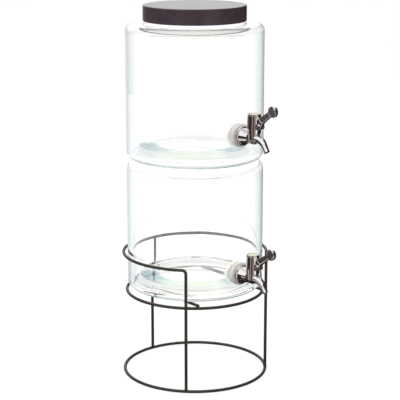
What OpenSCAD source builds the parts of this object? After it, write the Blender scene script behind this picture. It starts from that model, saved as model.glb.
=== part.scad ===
// Double beverage dispenser: two stacked glass jars with lever taps, a lid and a wire stand.
// Millimetres. The origin is on the stand's axis at table level, +Z is up, the taps point to -Y.

/* [Jars] */
// Outer diameter of each glass jar
jar_d = 180; // [174:1:200]
// Height of the lower jar from its foot to its shoulder
lower_body_h = 168; // [150:0.5:200]
// Height of the upper jar from its foot to its shoulder
upper_body_h = 174.4; // [150:0.1:200]
// Thickness of the upright glass wall
glass_wall = 6.5; // [4:0.1:7]
// Radius of the rounded foot edge
heel_r = 9; // [6:0.5:12]
// Radius of the rounded shoulder
shoulder_r = 8; // [6:0.5:11]
// Outer diameter of the neck
neck_d = 130; // [110:1:134]
// Height of the neck above the shoulder
neck_h = 18; // [15:0.5:24]
// Thickness of the neck's glass
neck_wall = 5; // [4:0.5:7]
// Depth of the recess in the foot
recess_h = 12; // [9:0.5:13]
// Thickness of the glass floor over the recess
floor_t = 6; // [4:0.5:8]

/* [Lid] */
// Height of the lid's top above the neck's rim
lid_head_h = 6.4; // [6:0.1:12]
// Height of the lid's lower edge above the shoulder
lid_rise = 4.2; // [2:0.1:6]
// Sheet thickness of the lid
lid_wall = 1.2; // [0.8:0.1:2]

/* [Stand] */
// Diameter of the wire
wire_d = 4; // [3:0.1:5]
// Height of the hoop's centre line above the table
hoop_h = 165.8; // [150:0.1:185]
// Height of the shelf ring's centre line above the table
shelf_h = 114; // [90:0.5:120]
// Angle left open in the hoop for the tap
hoop_gap = 98; // [70:1:120]
// Radius of the bends at the hoop's ends
bend_r = 5; // [4:0.5:8]
// Half the distance between the two support rods
rod_x = 55; // [40:1:60]

/* [Taps] */
// Height of the lower tap's shank above its jar's foot
lower_tap_h = 34.8; // [31:0.1:45]
// Height of the upper tap's shank above its jar's foot
upper_tap_h = 41.7; // [31:0.1:45]
// Outer diameter of the threaded shank
shank_d = 15.6; // [14:0.2:18]
// Diameter of the silicone washers
washer_d = 30; // [28:0.5:34]
// Diameter of the flange
flange_d = 24.4; // [22:0.2:27]
// Distance of the barrel's axis from the glass
barrel_out = 27.1; // [26:0.1:31]
// Diameter of the barrel at its lower edge
barrel_d = 18.8; // [18.4:0.1:21]
// Diameter of the barrel at its top
barrel_top_d = 16.8; // [16.4:0.1:18.4]
// Height of the barrel's top above the shank's axis
barrel_top = 31.2; // [30:0.1:36]
// Outer radius of the spout at its tip
spout_tip_r = 3.8; // [3.6:0.1:4.6]
// Radius of the spout's bend
spout_bend_r = 15.5; // [15:0.5:20]
// Length of the lever from its pin to the middle of its round end
lever_len = 32.6; // [30:0.1:40]
// Diameter of the lever's round end
knob_d = 14.4; // [13:0.1:18]
// Angle through which the lever is pressed
lever_press = 28; // [24:1:30]

/* [Hidden] */
$fn = 96;

// Clearances
seat_gap = 0.25;
weld_gap = 0.05;
press_gap = 0.03;
running_gap = 0.06;
slide_gap = 0.1;
recess_clear = 4;
lid_gap = 0.8;
glass_gap = 0.1;
bend_step = 0.02;
bend_lap = 1.5;
lap = 0.5;
lap_step = 0.1;
cut_past = 1;

// Jar
jar_r = jar_d / 2;
bore_r = jar_r - glass_wall;
neck_r = neck_d / 2;
neck_bore_r = neck_r - neck_wall;
recess_r = neck_r + recess_clear;
floor_z = recess_h + floor_t;
ridge_t = 6;
ridge_r = recess_r + ridge_t;
ridge_round = 4;
trough_r = (bore_r - ridge_r) / 2;
trough_z = 7;
inner_shoulder_r = 4;
neck_fillet = 3;
recess_fillet = 3;

// Stand
ring_clear = 3.3;
ring_r = jar_r + ring_clear + wire_d / 2;
shelf_r = ring_r - wire_d - weld_gap;
rod_z = shelf_h + wire_d + weld_gap;
rod_over = 2.5;
rod_half = sqrt(shelf_r * shelf_r - rod_x * rod_x) + rod_over;

// Levels
lower_foot_z = rod_z + wire_d / 2 + seat_gap;
upper_foot_z = lower_foot_z + lower_body_h + neck_h - recess_h + seat_gap;
lower_tap_z = lower_foot_z + lower_tap_h;
upper_tap_z = upper_foot_z + upper_tap_h;
lid_z = upper_foot_z + upper_body_h;

// Lid, heights above the shoulder of the upper jar
lid_r = neck_r + lid_gap + lid_wall;
lid_top = neck_h + lid_head_h;
lid_round = 1.6;
seal_z = neck_h + seat_gap;
seal_t = 1.5;
seal_inset = 1;
lip_gap = 0.3;
lip_rise = 1;
plug_clear = 6;
plug_reach = 8;
plug_tube_r = neck_bore_r - plug_clear;
plug_wall = 2;
plug_flange_t = 2.5;
plug_bottom = neck_h - plug_reach;

// Tap, measured outward from the glass and upward from the shank's axis
hole_clear = 1.4;
hole_d = shank_d + hole_clear;
shank_bore_r = 4;
washer_face = 4.6;
washer_sag = 3;
flange_t = 4;
flange_face = washer_face + flange_t;
inner_washer_t = 2.4;
inner_washer_face = glass_wall + inner_washer_t;
nut_t = 5;
nut_step = 3;
nut_flats = washer_d - nut_step;
shank_beyond = 1.2;
shank_end = inner_washer_face + nut_t + shank_beyond;
collar_d = 21.5;
elbow_d = 15.2;
elbow_reach = 6.3;
elbow_start = barrel_out - elbow_reach;
barrel_r = barrel_d / 2;
skirt_step = 0.8;
skirt_r = barrel_r - skirt_step;
barrel_z = 6.8;
barrel_edge_z = 12.4;
body_r = 7.7;
spigot_r = 7;
spigot_top = 10;
chamber_r = 5.5;
chamber_z = -5.8;
cap_t = 2;
cap_z = barrel_top - cap_t;
cap_plug_t = 2;
bonnet_bore_r = 6.2;

// Spout
spout_stub = 6.2;
spout_root = barrel_out + spout_stub;
spout_root_r = 6.1;
spout_turn = 54.5;
spout_straight = 9.8;
spout_bore_r = 2.4;
bore_z = -2.7;
spout_tip_y = spout_root + spout_bend_r * sin(spout_turn) + spout_straight * cos(spout_turn);
spout_tip_z = -spout_bend_r * (1 - cos(spout_turn)) - spout_straight * sin(spout_turn);
bore_straight = 5;
bore_bend_r = (bore_z - spout_tip_z - bore_straight * sin(spout_turn)) / (1 - cos(spout_turn));
bore_bend_y = spout_tip_y - bore_straight * cos(spout_turn) - bore_bend_r * sin(spout_turn);

// Lever and valve
pin_beyond = 1.2;
pin_out = barrel_out + barrel_r + pin_beyond;
pin_z = 15.7;
pin_r = 1.2;
lever_t = 6;
lever_angle = 42.8;
bar_t = 4.2;
bar_half = 3.6;
hub_r = 3.2;
ear_r = 3.5;
ear_t = 1.8;
ear_x = lever_t / 2 + seat_gap;
ear_root = 4;
hub_clear = 0.4;
fork_len = pin_out - barrel_out;
fork_drop = lever_press / 2;
fork_tip_r = 1.8;
fork_bar_half = 1;
fork_slot_half = 1.75;
fork_cut = 3;
fork_tip_y = pin_out - fork_len * cos(fork_drop);
fork_tip_z = pin_z - fork_len * sin(fork_drop);
root_r = 4.7;
root_clear = 0.3;
root_rise = 8.4;
root_y = barrel_out + barrel_r + root_clear + root_r;
root_z = pin_z + root_rise;
knob_y = pin_out + lever_len * cos(lever_angle);
knob_z = pin_z + lever_len * sin(lever_angle);
knob_t = 5;
knob_round = 1.2;
stem_r = 2;
stem_neck_r = 1.5;
stem_collar_r = 3.4;
stem_collar_t = 1.5;
fork_play = 0.22;
stem_groove_z = fork_tip_z - fork_tip_r - fork_play;
stem_groove_h = 2 * (fork_tip_r + fork_play);
spring_z = stem_groove_z + stem_groove_h + stem_collar_t;
spring_top = cap_z - cap_plug_t;
plug_lift = 0.2;
plug_z = chamber_z + plug_lift;
plug_h = 9;
stem_rise = 3;
stem_z = plug_z + stem_rise;
stem_lift = 2 * fork_len * sin(fork_drop);
stem_clear = 0.8;
stem_top = spring_top - stem_lift - stem_clear;
spring_wire_r = 0.45;
spring_r = 2.55;
spring_turns = 6;

// Parts of the two taps that repeat, and every node of the object
TAP_PARTS = ["tap_body", "tap_spout", "tap_bonnet", "tap_cap", "tap_lever", "lever_pin", "valve_stem",
    "valve_plug", "return_spring", "outer_washer", "inner_washer", "shank_nut"];
LEVELS = ["lower", "upper"];

echo(stem_lift = stem_lift, lift_per_radian = stem_lift / (lever_press * PI / 180));
echo(lower_foot_z = lower_foot_z, upper_foot_z = upper_foot_z, lid_z = lid_z);
echo(lower_tap_z = lower_tap_z, upper_tap_z = upper_tap_z, pin_y = -(jar_r + pin_out));
echo(spring_gap = (spring_top - spring_z - 2 * spring_wire_r) / spring_turns - 2 * spring_wire_r);

// Round wire bent into a level ring
module wire_ring(radius, z, d) {
    translate([0, 0, z]) rotate_extrude() translate([radius, 0]) circle(d = d);
}

// Bend in the YZ plane: starts level along +Y and turns down. It is a trace thinner than the straights at
// its ends and reaches a little way into both.
module down_bend(radius, angle, r) {
    translate([0, 0, -radius]) rotate([0, -90, 0]) rotate([0, 0, -bend_lap])
        rotate_extrude(angle = angle + 2 * bend_lap) translate([radius, 0]) circle(r - bend_step);
}

module base_ring() {
    color("#3b3733") wire_ring(ring_r, wire_d / 2, wire_d);
}

module shelf_ring() {
    color("#3b3733") wire_ring(shelf_r, shelf_h, wire_d);
}

// Half of the hoop's end: the bend and the front leg, coped onto the base ring
module front_leg() {
    start = hoop_gap / 2 - 90;
    difference() {
        rotate([0, 0, start]) translate([ring_r, 0, hoop_h]) rotate([0, 0, 180]) {
            down_bend(bend_r, 90, wire_d / 2);
            translate([0, bend_r, wire_d / 2 - hoop_h])
                cylinder(d = wire_d, h = hoop_h - bend_r - wire_d / 2);
        }
        wire_ring(ring_r, wire_d / 2, wire_d + 2 * weld_gap);
    }
}

module hoop_front_legs() {
    color("#3b3733") {
        translate([0, 0, hoop_h]) rotate([0, 0, hoop_gap / 2 - 90])
            rotate_extrude(angle = 360 - hoop_gap) translate([ring_r, 0]) circle(d = wire_d);
        front_leg();
        mirror([1, 0, 0]) front_leg();
    }
}

module rear_leg() {
    color("#3b3733") difference() {
        translate([0, ring_r, wire_d / 2]) cylinder(d = wire_d, h = hoop_h - wire_d / 2);
        wire_ring(ring_r, wire_d / 2, wire_d + 2 * weld_gap);
        wire_ring(ring_r, hoop_h, wire_d + 2 * weld_gap);
    }
}

module support_rod(side) {
    color("#3b3733") translate([side * rod_x, -rod_half, rod_z]) rotate([-90, 0, 0])
        cylinder(d = wire_d, h = 2 * rod_half);
}

// Outside of the jar, as the half section that is turned about the axis
module jar_outside(body_h) {
    square([jar_r - heel_r, body_h]);
    translate([0, heel_r]) square([jar_r, body_h - heel_r - shoulder_r]);
    translate([jar_r - heel_r, heel_r]) circle(heel_r);
    translate([jar_r - shoulder_r, body_h - shoulder_r]) circle(shoulder_r);
    square([jar_r - shoulder_r, body_h]);
    square([neck_r, body_h + neck_h - neck_wall / 2]);
    translate([neck_r - neck_wall / 2, body_h + neck_h - neck_wall / 2]) circle(d = neck_wall);
    difference() {
        translate([neck_r, body_h]) square(neck_fillet);
        translate([neck_r + neck_fillet, body_h + neck_fillet]) circle(neck_fillet);
    }
}

// Hollow of the jar: floor with a trough round it, straight wall, shoulder and neck
module jar_hollow(body_h) {
    top = body_h - glass_wall;
    translate([0, floor_z]) square([bore_r, top - inner_shoulder_r - floor_z]);
    translate([0, floor_z]) square([bore_r - inner_shoulder_r, top - floor_z]);
    translate([bore_r - inner_shoulder_r, top - inner_shoulder_r]) circle(inner_shoulder_r);
    translate([ridge_r, trough_z + trough_r]) square([2 * trough_r, floor_z - trough_z - trough_r + lap]);
    translate([ridge_r + trough_r, trough_z + trough_r]) circle(trough_r);
    difference() {
        translate([ridge_r - ridge_round, floor_z - ridge_round]) square(ridge_round);
        translate([ridge_r - ridge_round, floor_z - ridge_round]) circle(ridge_round);
    }
    translate([0, top - lap]) square([neck_bore_r, neck_h + glass_wall + lap + cut_past]);
}

// Recess in the foot that takes the neck of the jar below
module jar_recess() {
    translate([0, -cut_past]) square([recess_r, recess_h + cut_past - recess_fillet]);
    translate([0, -cut_past]) square([recess_r - recess_fillet, recess_h + cut_past]);
    translate([recess_r - recess_fillet, recess_h - recess_fillet]) circle(recess_fillet);
}

module jar(foot_z, body_h, tap_h) {
    color("#cfe6e2", 0.35) translate([0, 0, foot_z]) difference() {
        rotate_extrude() difference() {
            jar_outside(body_h);
            jar_hollow(body_h);
            jar_recess();
        }
        translate([0, hole_d - bore_r, tap_h]) rotate([90, 0, 0])
            cylinder(d = hole_d, h = glass_wall + 2 * hole_d);
    }
}

module lid_cap() {
    color("#3c3138") translate([0, 0, lid_z]) rotate_extrude() difference() {
        union() {
            translate([0, lid_rise]) square([lid_r, lid_top - lid_rise - lid_round]);
            translate([0, lid_rise]) square([lid_r - lid_round, lid_top - lid_rise]);
            translate([lid_r - lid_round, lid_top - lid_round]) circle(lid_round);
        }
        translate([0, lid_rise - cut_past])
            square([lid_r - lid_wall, lid_top - lid_wall - lid_rise + cut_past]);
    }
}

// Cup that stands in the neck, with a flange over the seal and a tube up to the cap
module lid_plug() {
    flange_z = seal_z + seal_t;
    color("#e9e7e0") translate([0, 0, lid_z]) rotate_extrude() {
        translate([0, plug_bottom]) square([plug_tube_r, plug_wall]);
        translate([plug_tube_r - plug_wall, plug_bottom])
            square([plug_wall, lid_top - lid_wall - weld_gap - plug_bottom]);
        translate([plug_tube_r - plug_wall, flange_z])
            square([lid_r - lid_wall - lid_gap - plug_tube_r + plug_wall, plug_flange_t]);
    }
}

// Flat ring on the neck's rim with a lip that reaches down into the bore
module lid_seal() {
    color("#f2efe6") translate([0, 0, lid_z]) rotate_extrude() {
        translate([plug_tube_r + slide_gap, seal_z])
            square([neck_r - seal_inset - plug_tube_r - slide_gap, seal_t - weld_gap]);
        translate([plug_tube_r + slide_gap, plug_bottom + lip_rise])
            square([neck_bore_r - lip_gap - plug_tube_r - slide_gap, seal_z - plug_bottom - lip_rise]);
    }
}

// Moves a tap part from its own frame, outward along +Y, to its place on a jar
module at_tap(level) {
    translate([0, -jar_r, level == "lower" ? lower_tap_z : upper_tap_z]) rotate([0, 0, 180]) children();
}

module along_shank(from, to, d) {
    translate([0, from, 0]) rotate([-90, 0, 0]) cylinder(d = d, h = to - from);
}

module upright(z0, z1, r) {
    translate([0, barrel_out, z0]) cylinder(r = r, h = z1 - z0);
}

module tap_body() {
    color("#b9b4b0") difference() {
        union() {
            difference() {
                union() {
                    along_shank(-shank_end, washer_face + lap, shank_d);
                    along_shank(washer_face, flange_face, flange_d);
                    translate([0, flange_face - lap, 0]) rotate([-90, 0, 0])
                        cylinder(d1 = collar_d, d2 = elbow_d, h = elbow_start - flange_face + lap);
                    along_shank(elbow_start - lap, barrel_out, elbow_d - lap_step);
                    along_shank(barrel_out, spout_root, 2 * spout_root_r);
                    translate([0, barrel_out, 0]) sphere(body_r);
                    upright(0, barrel_z + lap, body_r - lap_step / 2);
                }
                upright(barrel_z - weld_gap, barrel_edge_z, skirt_r + slide_gap);
            }
            upright(0, spigot_top, spigot_r);
        }
        upright(chamber_z, spigot_top + cut_past, chamber_r);
        along_shank(spout_root - weld_gap, spout_root + body_r, 4 * body_r);
        along_shank(-shank_end - cut_past, barrel_out, 2 * shank_bore_r);
        translate([0, 0, bore_z]) along_shank(barrel_out, spout_root + cut_past, 2 * spout_bore_r);
    }
}

// Outside of the spout: a circle carried along the bend while it narrows
bend_steps = 12;
spout_sides = 32;
spout_rings = [for (i = [0 : bend_steps + 1])
    let (a = min(i, bend_steps) * spout_turn / bend_steps,
         run = i > bend_steps ? spout_straight : 0,
         share = i / (bend_steps + 1),
         y = spout_root + spout_bend_r * sin(a) + run * cos(a),
         z = -spout_bend_r * (1 - cos(a)) - run * sin(a),
         r = spout_tip_r + (spout_root_r - spout_tip_r) * (1 - share) * (1 - share))
    [for (k = [0 : spout_sides - 1])
        let (t = 360 * k / spout_sides)
        [r * cos(t), y + r * sin(t) * sin(a), z + r * sin(t) * cos(a)]]];

// Closes a stack of equal rings of points with triangles
module ring_stack(rings) {
    n = len(rings[0]);
    last = len(rings) - 1;
    points = [for (ring = rings) each ring];
    sides = [for (i = [0 : last - 1]) for (k = [0 : n - 1])
        let (a = i * n + k, b = i * n + (k + 1) % n)
        each [[a, b, b + n], [a, b + n, a + n]]];
    first_cap = [for (k = [1 : n - 2]) [0, k + 1, k]];
    last_cap = [for (k = [1 : n - 2]) [last * n, last * n + k, last * n + k + 1]];
    polyhedron(points, concat(sides, first_cap, last_cap));
}

module tap_spout() {
    color("#b9b4b0") difference() {
        ring_stack(spout_rings);
        translate([0, 0, bore_z]) along_shank(spout_root - cut_past, bore_bend_y, 2 * spout_bore_r);
        translate([0, bore_bend_y, bore_z]) {
            down_bend(bore_bend_r, spout_turn, spout_bore_r);
            translate([0, bore_bend_r * sin(spout_turn), -bore_bend_r * (1 - cos(spout_turn))])
                rotate([-90 - spout_turn, 0, 0]) cylinder(r = spout_bore_r, h = bore_straight + cut_past);
        }
    }
}

module tap_bonnet() {
    color("#b9b4b0") difference() {
        union() {
            upright(barrel_z, barrel_edge_z + lap, skirt_r);
            translate([0, barrel_out, barrel_edge_z])
                cylinder(r1 = barrel_r, r2 = barrel_top_d / 2, h = cap_z - barrel_edge_z);
            for (side = [-1, 1]) translate([side * (ear_x + ear_t / 2), 0, 0]) {
                translate([-ear_t / 2, pin_out, pin_z]) rotate([0, 90, 0]) cylinder(r = ear_r, h = ear_t);
                translate([-ear_t / 2, barrel_out + ear_root, pin_z - ear_r])
                    cube([ear_t, pin_out - barrel_out - ear_root, 2 * ear_r]);
            }
        }
        upright(barrel_z - cut_past, spigot_top + seat_gap, spigot_r + slide_gap);
        upright(spigot_top, cap_z + cut_past, bonnet_bore_r);
        translate([-ear_x, barrel_out, pin_z - hub_r - hub_clear])
            cube([2 * ear_x, 2 * barrel_r, root_z - pin_z + hub_r + hub_clear]);
        translate([-barrel_r, pin_out, pin_z]) rotate([0, 90, 0])
            cylinder(r = pin_r + press_gap, h = 2 * barrel_r);
    }
}

module tap_cap() {
    color("#d5cfb8") {
        upright(cap_z + weld_gap, barrel_top, barrel_top_d / 2);
        upright(cap_z - cap_plug_t, cap_z + lap, bonnet_bore_r - slide_gap);
    }
}

// Straight-sided link between two circles of the lever's outline
module link(a, ra, b, rb) {
    d = b - a;
    len_ab = norm(d);
    heading = atan2(d[1], d[0]);
    lean = acos((ra - rb) / len_ab);
    polygon([
        a + ra * [cos(heading + lean), sin(heading + lean)],
        a + ra * [cos(heading - lean), sin(heading - lean)],
        b + rb * [cos(heading - lean), sin(heading - lean)],
        b + rb * [cos(heading + lean), sin(heading + lean)]]);
    translate(a) circle(ra);
    translate(b) circle(rb);
}

// Plate of the lever: outline drawn in the YZ plane, thickness along X
module plate(x0, x1) {
    translate([x0, 0, 0]) rotate([90, 0, 90]) linear_extrude(x1 - x0) children();
}

// Coin-shaped end of the lever about the Z axis, with rounded edges
module grip() {
    rotate_extrude() for (side = [0, 1]) mirror([0, side]) {
        square([knob_d / 2, knob_t / 2 - knob_round]);
        square([knob_d / 2 - knob_round, knob_t / 2]);
        translate([knob_d / 2 - knob_round, knob_t / 2 - knob_round]) circle(knob_round);
    }
}

module tap_lever() {
    pin = [pin_out, pin_z];
    root = [root_y, root_z];
    knob = [knob_y, knob_z];
    fork = [fork_tip_y, fork_tip_z];
    color("#6d6666") difference() {
        union() {
            plate(-lever_t / 2, lever_t / 2) {
                link(pin, hub_r, root, root_r);
                link(pin, fork_bar_half, fork, fork_bar_half);
                translate(fork) circle(fork_tip_r);
            }
            plate(-bar_t / 2, bar_t / 2) link(root, root_r, knob, bar_half);
            translate([0, knob_y, knob_z]) rotate([0, 90, 0]) grip();
        }
        translate([-lever_t, pin_out, pin_z]) rotate([0, 90, 0])
            cylinder(r = pin_r + running_gap, h = 2 * lever_t);
        translate([-fork_slot_half, fork_tip_y - fork_cut, fork_tip_z - fork_cut]) {
            slot_len = barrel_out + stem_collar_r - fork_tip_y + fork_cut;
            cube([2 * fork_slot_half, slot_len, 2 * fork_cut + lap]);
        }
    }
}

module lever_pin() {
    color("#8d8888") translate([-ear_x - ear_t, pin_out, pin_z]) rotate([0, 90, 0])
        cylinder(r = pin_r, h = 2 * (ear_x + ear_t));
}

module valve_stem() {
    color("#d9d6cf") {
        upright(stem_z, stem_groove_z, stem_r);
        upright(stem_groove_z - stem_collar_t, stem_groove_z, stem_collar_r);
        upright(stem_groove_z, stem_top, stem_neck_r);
        upright(spring_z - stem_collar_t, spring_z, stem_collar_r);
    }
}

module valve_plug() {
    color("#efece2") difference() {
        upright(plug_z, plug_z + plug_h, chamber_r - slide_gap);
        upright(stem_z - weld_gap, plug_z + plug_h + cut_past, stem_r + press_gap);
    }
}

// Coil of round wire, six sides to the wire and eight rings to each turn
spring_rings = [for (i = [0 : 8 * spring_turns])
    let (a = 45 * i,
         z = spring_z + weld_gap + spring_wire_r
             + (spring_top - spring_z - 2 * weld_gap - 2 * spring_wire_r) * i / (8 * spring_turns))
    [for (k = [0 : 5])
        let (t = 60 * k, r = spring_r + spring_wire_r * cos(t))
        [r * cos(a), barrel_out + r * sin(a), z - spring_wire_r * sin(t)]]];

module return_spring() {
    color("#a9a9a6") ring_stack(spring_rings);
}

module outer_washer() {
    color("#ece9df") difference() {
        along_shank(-washer_sag, washer_face - weld_gap, washer_d);
        along_shank(-washer_sag - cut_past, washer_face + cut_past, shank_d + 2 * slide_gap);
        translate([0, -jar_r, -washer_d]) cylinder(r = jar_r + glass_gap, h = 2 * washer_d, $fn = 720);
    }
}

module inner_washer() {
    color("#ece9df") intersection() {
        difference() {
            along_shank(-inner_washer_face, -glass_wall + cut_past, washer_d);
            along_shank(-inner_washer_face - cut_past, cut_past, shank_d + 2 * slide_gap);
        }
        translate([0, -jar_r, -washer_d]) cylinder(r = bore_r - glass_gap, h = 2 * washer_d, $fn = 720);
    }
}

module shank_nut() {
    color("#f1eee6") translate([0, -inner_washer_face - weld_gap, 0]) rotate([90, 0, 0]) difference() {
        cylinder(d = nut_flats / cos(30), h = nut_t, $fn = 6);
        translate([0, 0, -cut_past]) cylinder(d = shank_d + 2 * press_gap, h = nut_t + 2 * cut_past);
    }
}

base_ring();
shelf_ring();
hoop_front_legs();
rear_leg();
support_rod(-1);  // support_rod_left
support_rod(1);  // support_rod_right
jar(lower_foot_z, lower_body_h, lower_tap_h);  // lower_jar
jar(upper_foot_z, upper_body_h, upper_tap_h);  // upper_jar
lid_cap();
lid_plug();
lid_seal();
for (level = LEVELS) {
    at_tap(level) tap_body();
    at_tap(level) tap_spout();
    at_tap(level) tap_bonnet();
    at_tap(level) tap_cap();
    at_tap(level) tap_lever();
    at_tap(level) lever_pin();
    at_tap(level) valve_stem();
    at_tap(level) valve_plug();
    at_tap(level) return_spring();
    at_tap(level) outer_washer();
    at_tap(level) inner_washer();
    at_tap(level) shank_nut();
}
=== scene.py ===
import math

import bmesh
import bpy
import numpy as np
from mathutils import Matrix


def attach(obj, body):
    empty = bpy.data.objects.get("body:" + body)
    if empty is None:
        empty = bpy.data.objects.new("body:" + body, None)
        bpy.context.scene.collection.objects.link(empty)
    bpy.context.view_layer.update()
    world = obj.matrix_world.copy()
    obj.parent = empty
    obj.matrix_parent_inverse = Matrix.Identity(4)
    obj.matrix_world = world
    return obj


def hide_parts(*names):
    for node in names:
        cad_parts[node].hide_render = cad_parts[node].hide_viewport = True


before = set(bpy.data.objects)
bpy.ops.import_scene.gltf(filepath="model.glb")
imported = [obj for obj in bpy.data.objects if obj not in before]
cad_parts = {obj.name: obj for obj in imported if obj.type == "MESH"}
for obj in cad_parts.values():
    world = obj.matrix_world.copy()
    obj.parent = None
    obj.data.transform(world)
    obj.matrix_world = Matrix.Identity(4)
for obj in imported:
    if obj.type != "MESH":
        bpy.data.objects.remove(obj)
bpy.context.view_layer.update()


# Base ring and shelf ring of the stand.
# Each is a hoop of 4 mm mild steel wire, butt-welded and powder coated in a dark warm brown.
# The base ring stands on the table; the shelf ring is welded inside the legs and carries the support rods.
def linear(code):
    """sRGB hex colour to linear RGBA: c / 12.92 up to 0.04045, above that ((c + 0.055) / 1.055) ^ 2.4."""
    c = np.array([int(code[i:i + 2], 16) for i in (1, 3, 5)]) / 255
    c = np.where(c <= 0.04045, c / 12.92, ((c + 0.055) / 1.055) ** 2.4)
    return (*c.tolist(), 1.0)


def add_node(tree, kind, sockets=None, stops=None, **settings):
    """Adds one shader node: settings are its properties, stops its colour stops, sockets values or links."""
    node = tree.nodes.new(kind)
    for name, value in settings.items():
        setattr(node, name, value)
    for count, (place, colour) in enumerate(stops or ()):
        if count == 0:
            node.color_ramp.elements.remove(node.color_ramp.elements[1])
            stop = node.color_ramp.elements[0]
        else:
            stop = node.color_ramp.elements.new(place)
        stop.position = place
        stop.color = colour
    for name, value in (sockets or {}).items():
        if isinstance(value, bpy.types.NodeSocket):
            tree.links.new(value, node.inputs[name])
        else:
            node.inputs[name].default_value = value
    return node


def start_material(name, sockets):
    """A material with one Principled shader; returns it, its node tree, the shader and Object coordinates."""
    material = bpy.data.materials.new(name)
    material.use_nodes = True
    tree = material.node_tree
    tree.nodes.clear()
    shader = add_node(tree, "ShaderNodeBsdfPrincipled", sockets)
    add_node(tree, "ShaderNodeOutputMaterial", {"Surface": shader.outputs["BSDF"]})
    place = add_node(tree, "ShaderNodeTexCoord").outputs["Object"]
    return material, tree, shader, place


def join_grids(name, grids, sharp=35, merge=2e-6):
    """Joins grids of points, arrays [rows, columns, 3] in mm, into one object in metres. Neighbouring points
    along rows and columns make quads; points closer than merge are made one, which closes seams. Edges that
    turn by more than sharp degrees stay crisp, and elsewhere the largest face at a point sets the normal."""
    points = np.concatenate([grid.reshape(-1, 3) for grid in grids]) / 1000
    faces = []
    start = 0
    for grid in grids:
        rows, columns = grid.shape[:2]
        index = start + np.arange(rows * columns).reshape(rows, columns)
        quads = np.stack([index[:-1, :-1], index[1:, :-1], index[1:, 1:], index[:-1, 1:]], -1)
        faces.append(quads.reshape(-1, 4))
        start += rows * columns
    mesh = bpy.data.meshes.new(name)
    mesh.from_pydata(points.tolist(), [], np.concatenate(faces).tolist())
    shell = bmesh.new()
    shell.from_mesh(mesh)
    bmesh.ops.remove_doubles(shell, verts=shell.verts, dist=merge)
    bmesh.ops.recalc_face_normals(shell, faces=shell.faces)
    shell.to_mesh(mesh)
    shell.free()
    mesh.shade_smooth()
    mesh.set_sharp_from_angle(angle=math.radians(sharp))
    joined = bpy.data.objects.new(name, mesh)
    bpy.context.scene.collection.objects.link(joined)
    flat_first = joined.modifiers.new("flat_first", "WEIGHTED_NORMAL")
    flat_first.keep_sharp = True
    return joined


def make_piece(name, grids, material, body, node, sharp=35):
    """Makes a piece from grids of points: it has one material, rides on a body and stands for a node."""
    piece = join_grids(name, grids, sharp)
    piece.data.materials.append(material)
    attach(piece, body)
    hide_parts(node)
    return piece


def wire_ring(radius, height, wire_r, turns=192, sides=24):
    """Torus about the stand's axis: the circle of radius wire_r is carried round at the given radius."""
    u = np.linspace(0, 2 * np.pi, turns + 1)[:, None]
    v = np.linspace(0, 2 * np.pi, sides + 1)[None, :]
    reach = radius + wire_r * np.cos(v)
    return np.stack([reach * np.cos(u), reach * np.sin(u), height + wire_r * np.sin(v) + 0 * u], -1)


def weld_bead(centre, sizes, turn=0.0, lumpy=0.05, rows=12, sides=20):
    """Ellipsoid with the given half sizes, turned about the upright by turn radians. Its girth swells in
    three lumps, by lumpy * sin(3 v) * sin(u)^2."""
    u = np.linspace(0, np.pi, rows + 1)[:, None]
    v = np.linspace(0, 2 * np.pi, sides + 1)[None, :]
    swell = 1 + lumpy * np.sin(3 * v) * np.sin(u) ** 2
    x = sizes[0] * swell * np.sin(u) * np.cos(v)
    y = sizes[1] * swell * np.sin(u) * np.sin(v)
    z = sizes[2] * np.cos(u) + 0 * v
    c, s = math.cos(turn), math.sin(turn)
    return np.stack([centre[0] + c * x - s * y, centre[1] + s * x + c * y, centre[2] + z], -1)


# Powder coat: a baked film that runs slightly wavy, so its highlights break up along the wire.
# The film's waves are about 1.5 mm long and its grain 0.25 mm; the grain is drawn at 0.5 mm so that it shows.
powder_coat, tree, shader, place = start_material("powder_coated_steel", {"Roughness": 0.36, "IOR": 1.5})
film = add_node(tree, "ShaderNodeTexNoise", {"Vector": place, "Scale": 650, "Detail": 3})
shade = add_node(tree, "ShaderNodeValToRGB", {"Fac": film.outputs["Fac"]},
                 [(0.3, linear("#3a342d")), (0.7, linear("#494239"))])
tree.links.new(shade.outputs["Color"], shader.inputs["Base Color"])
grain = add_node(tree, "ShaderNodeTexNoise", {"Vector": place, "Scale": 2000, "Detail": 2})
bump = add_node(tree, "ShaderNodeBump",
                {"Height": grain.outputs["Fac"], "Strength": 0.12, "Distance": 0.0002})
tree.links.new(bump.outputs["Normal"], shader.inputs["Normal"])

wire_r = 2.0
ring_r = 95.3
shelf_r = 91.25
shelf_z = 114.0
half_gap = math.radians(49)
leg_turn = 5.0
leg_side = ring_r * math.sin(half_gap) - leg_turn * math.cos(half_gap)
leg_front = -ring_r * math.cos(half_gap) - leg_turn * math.sin(half_gap)
leg_places = [(leg_side, leg_front), (-leg_side, leg_front), (0.0, ring_r)]
shelf_bead_r = 93.28
shelf_bead = (0.8, 1.7, 1.9)
shelf_beads = []
for x, y in leg_places:
    shrink = shelf_bead_r / math.hypot(x, y)
    shelf_beads.append(weld_bead((shrink * x, shrink * y, shelf_z), shelf_bead, math.atan2(y, x)))
make_piece("base_ring_look", [wire_ring(ring_r, wire_r, wire_r)], powder_coat, "stand", "base_ring")
make_piece("shelf_ring_look", [wire_ring(shelf_r, shelf_z, wire_r), *shelf_beads], powder_coat, "stand",
           "shelf_ring")


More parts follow.
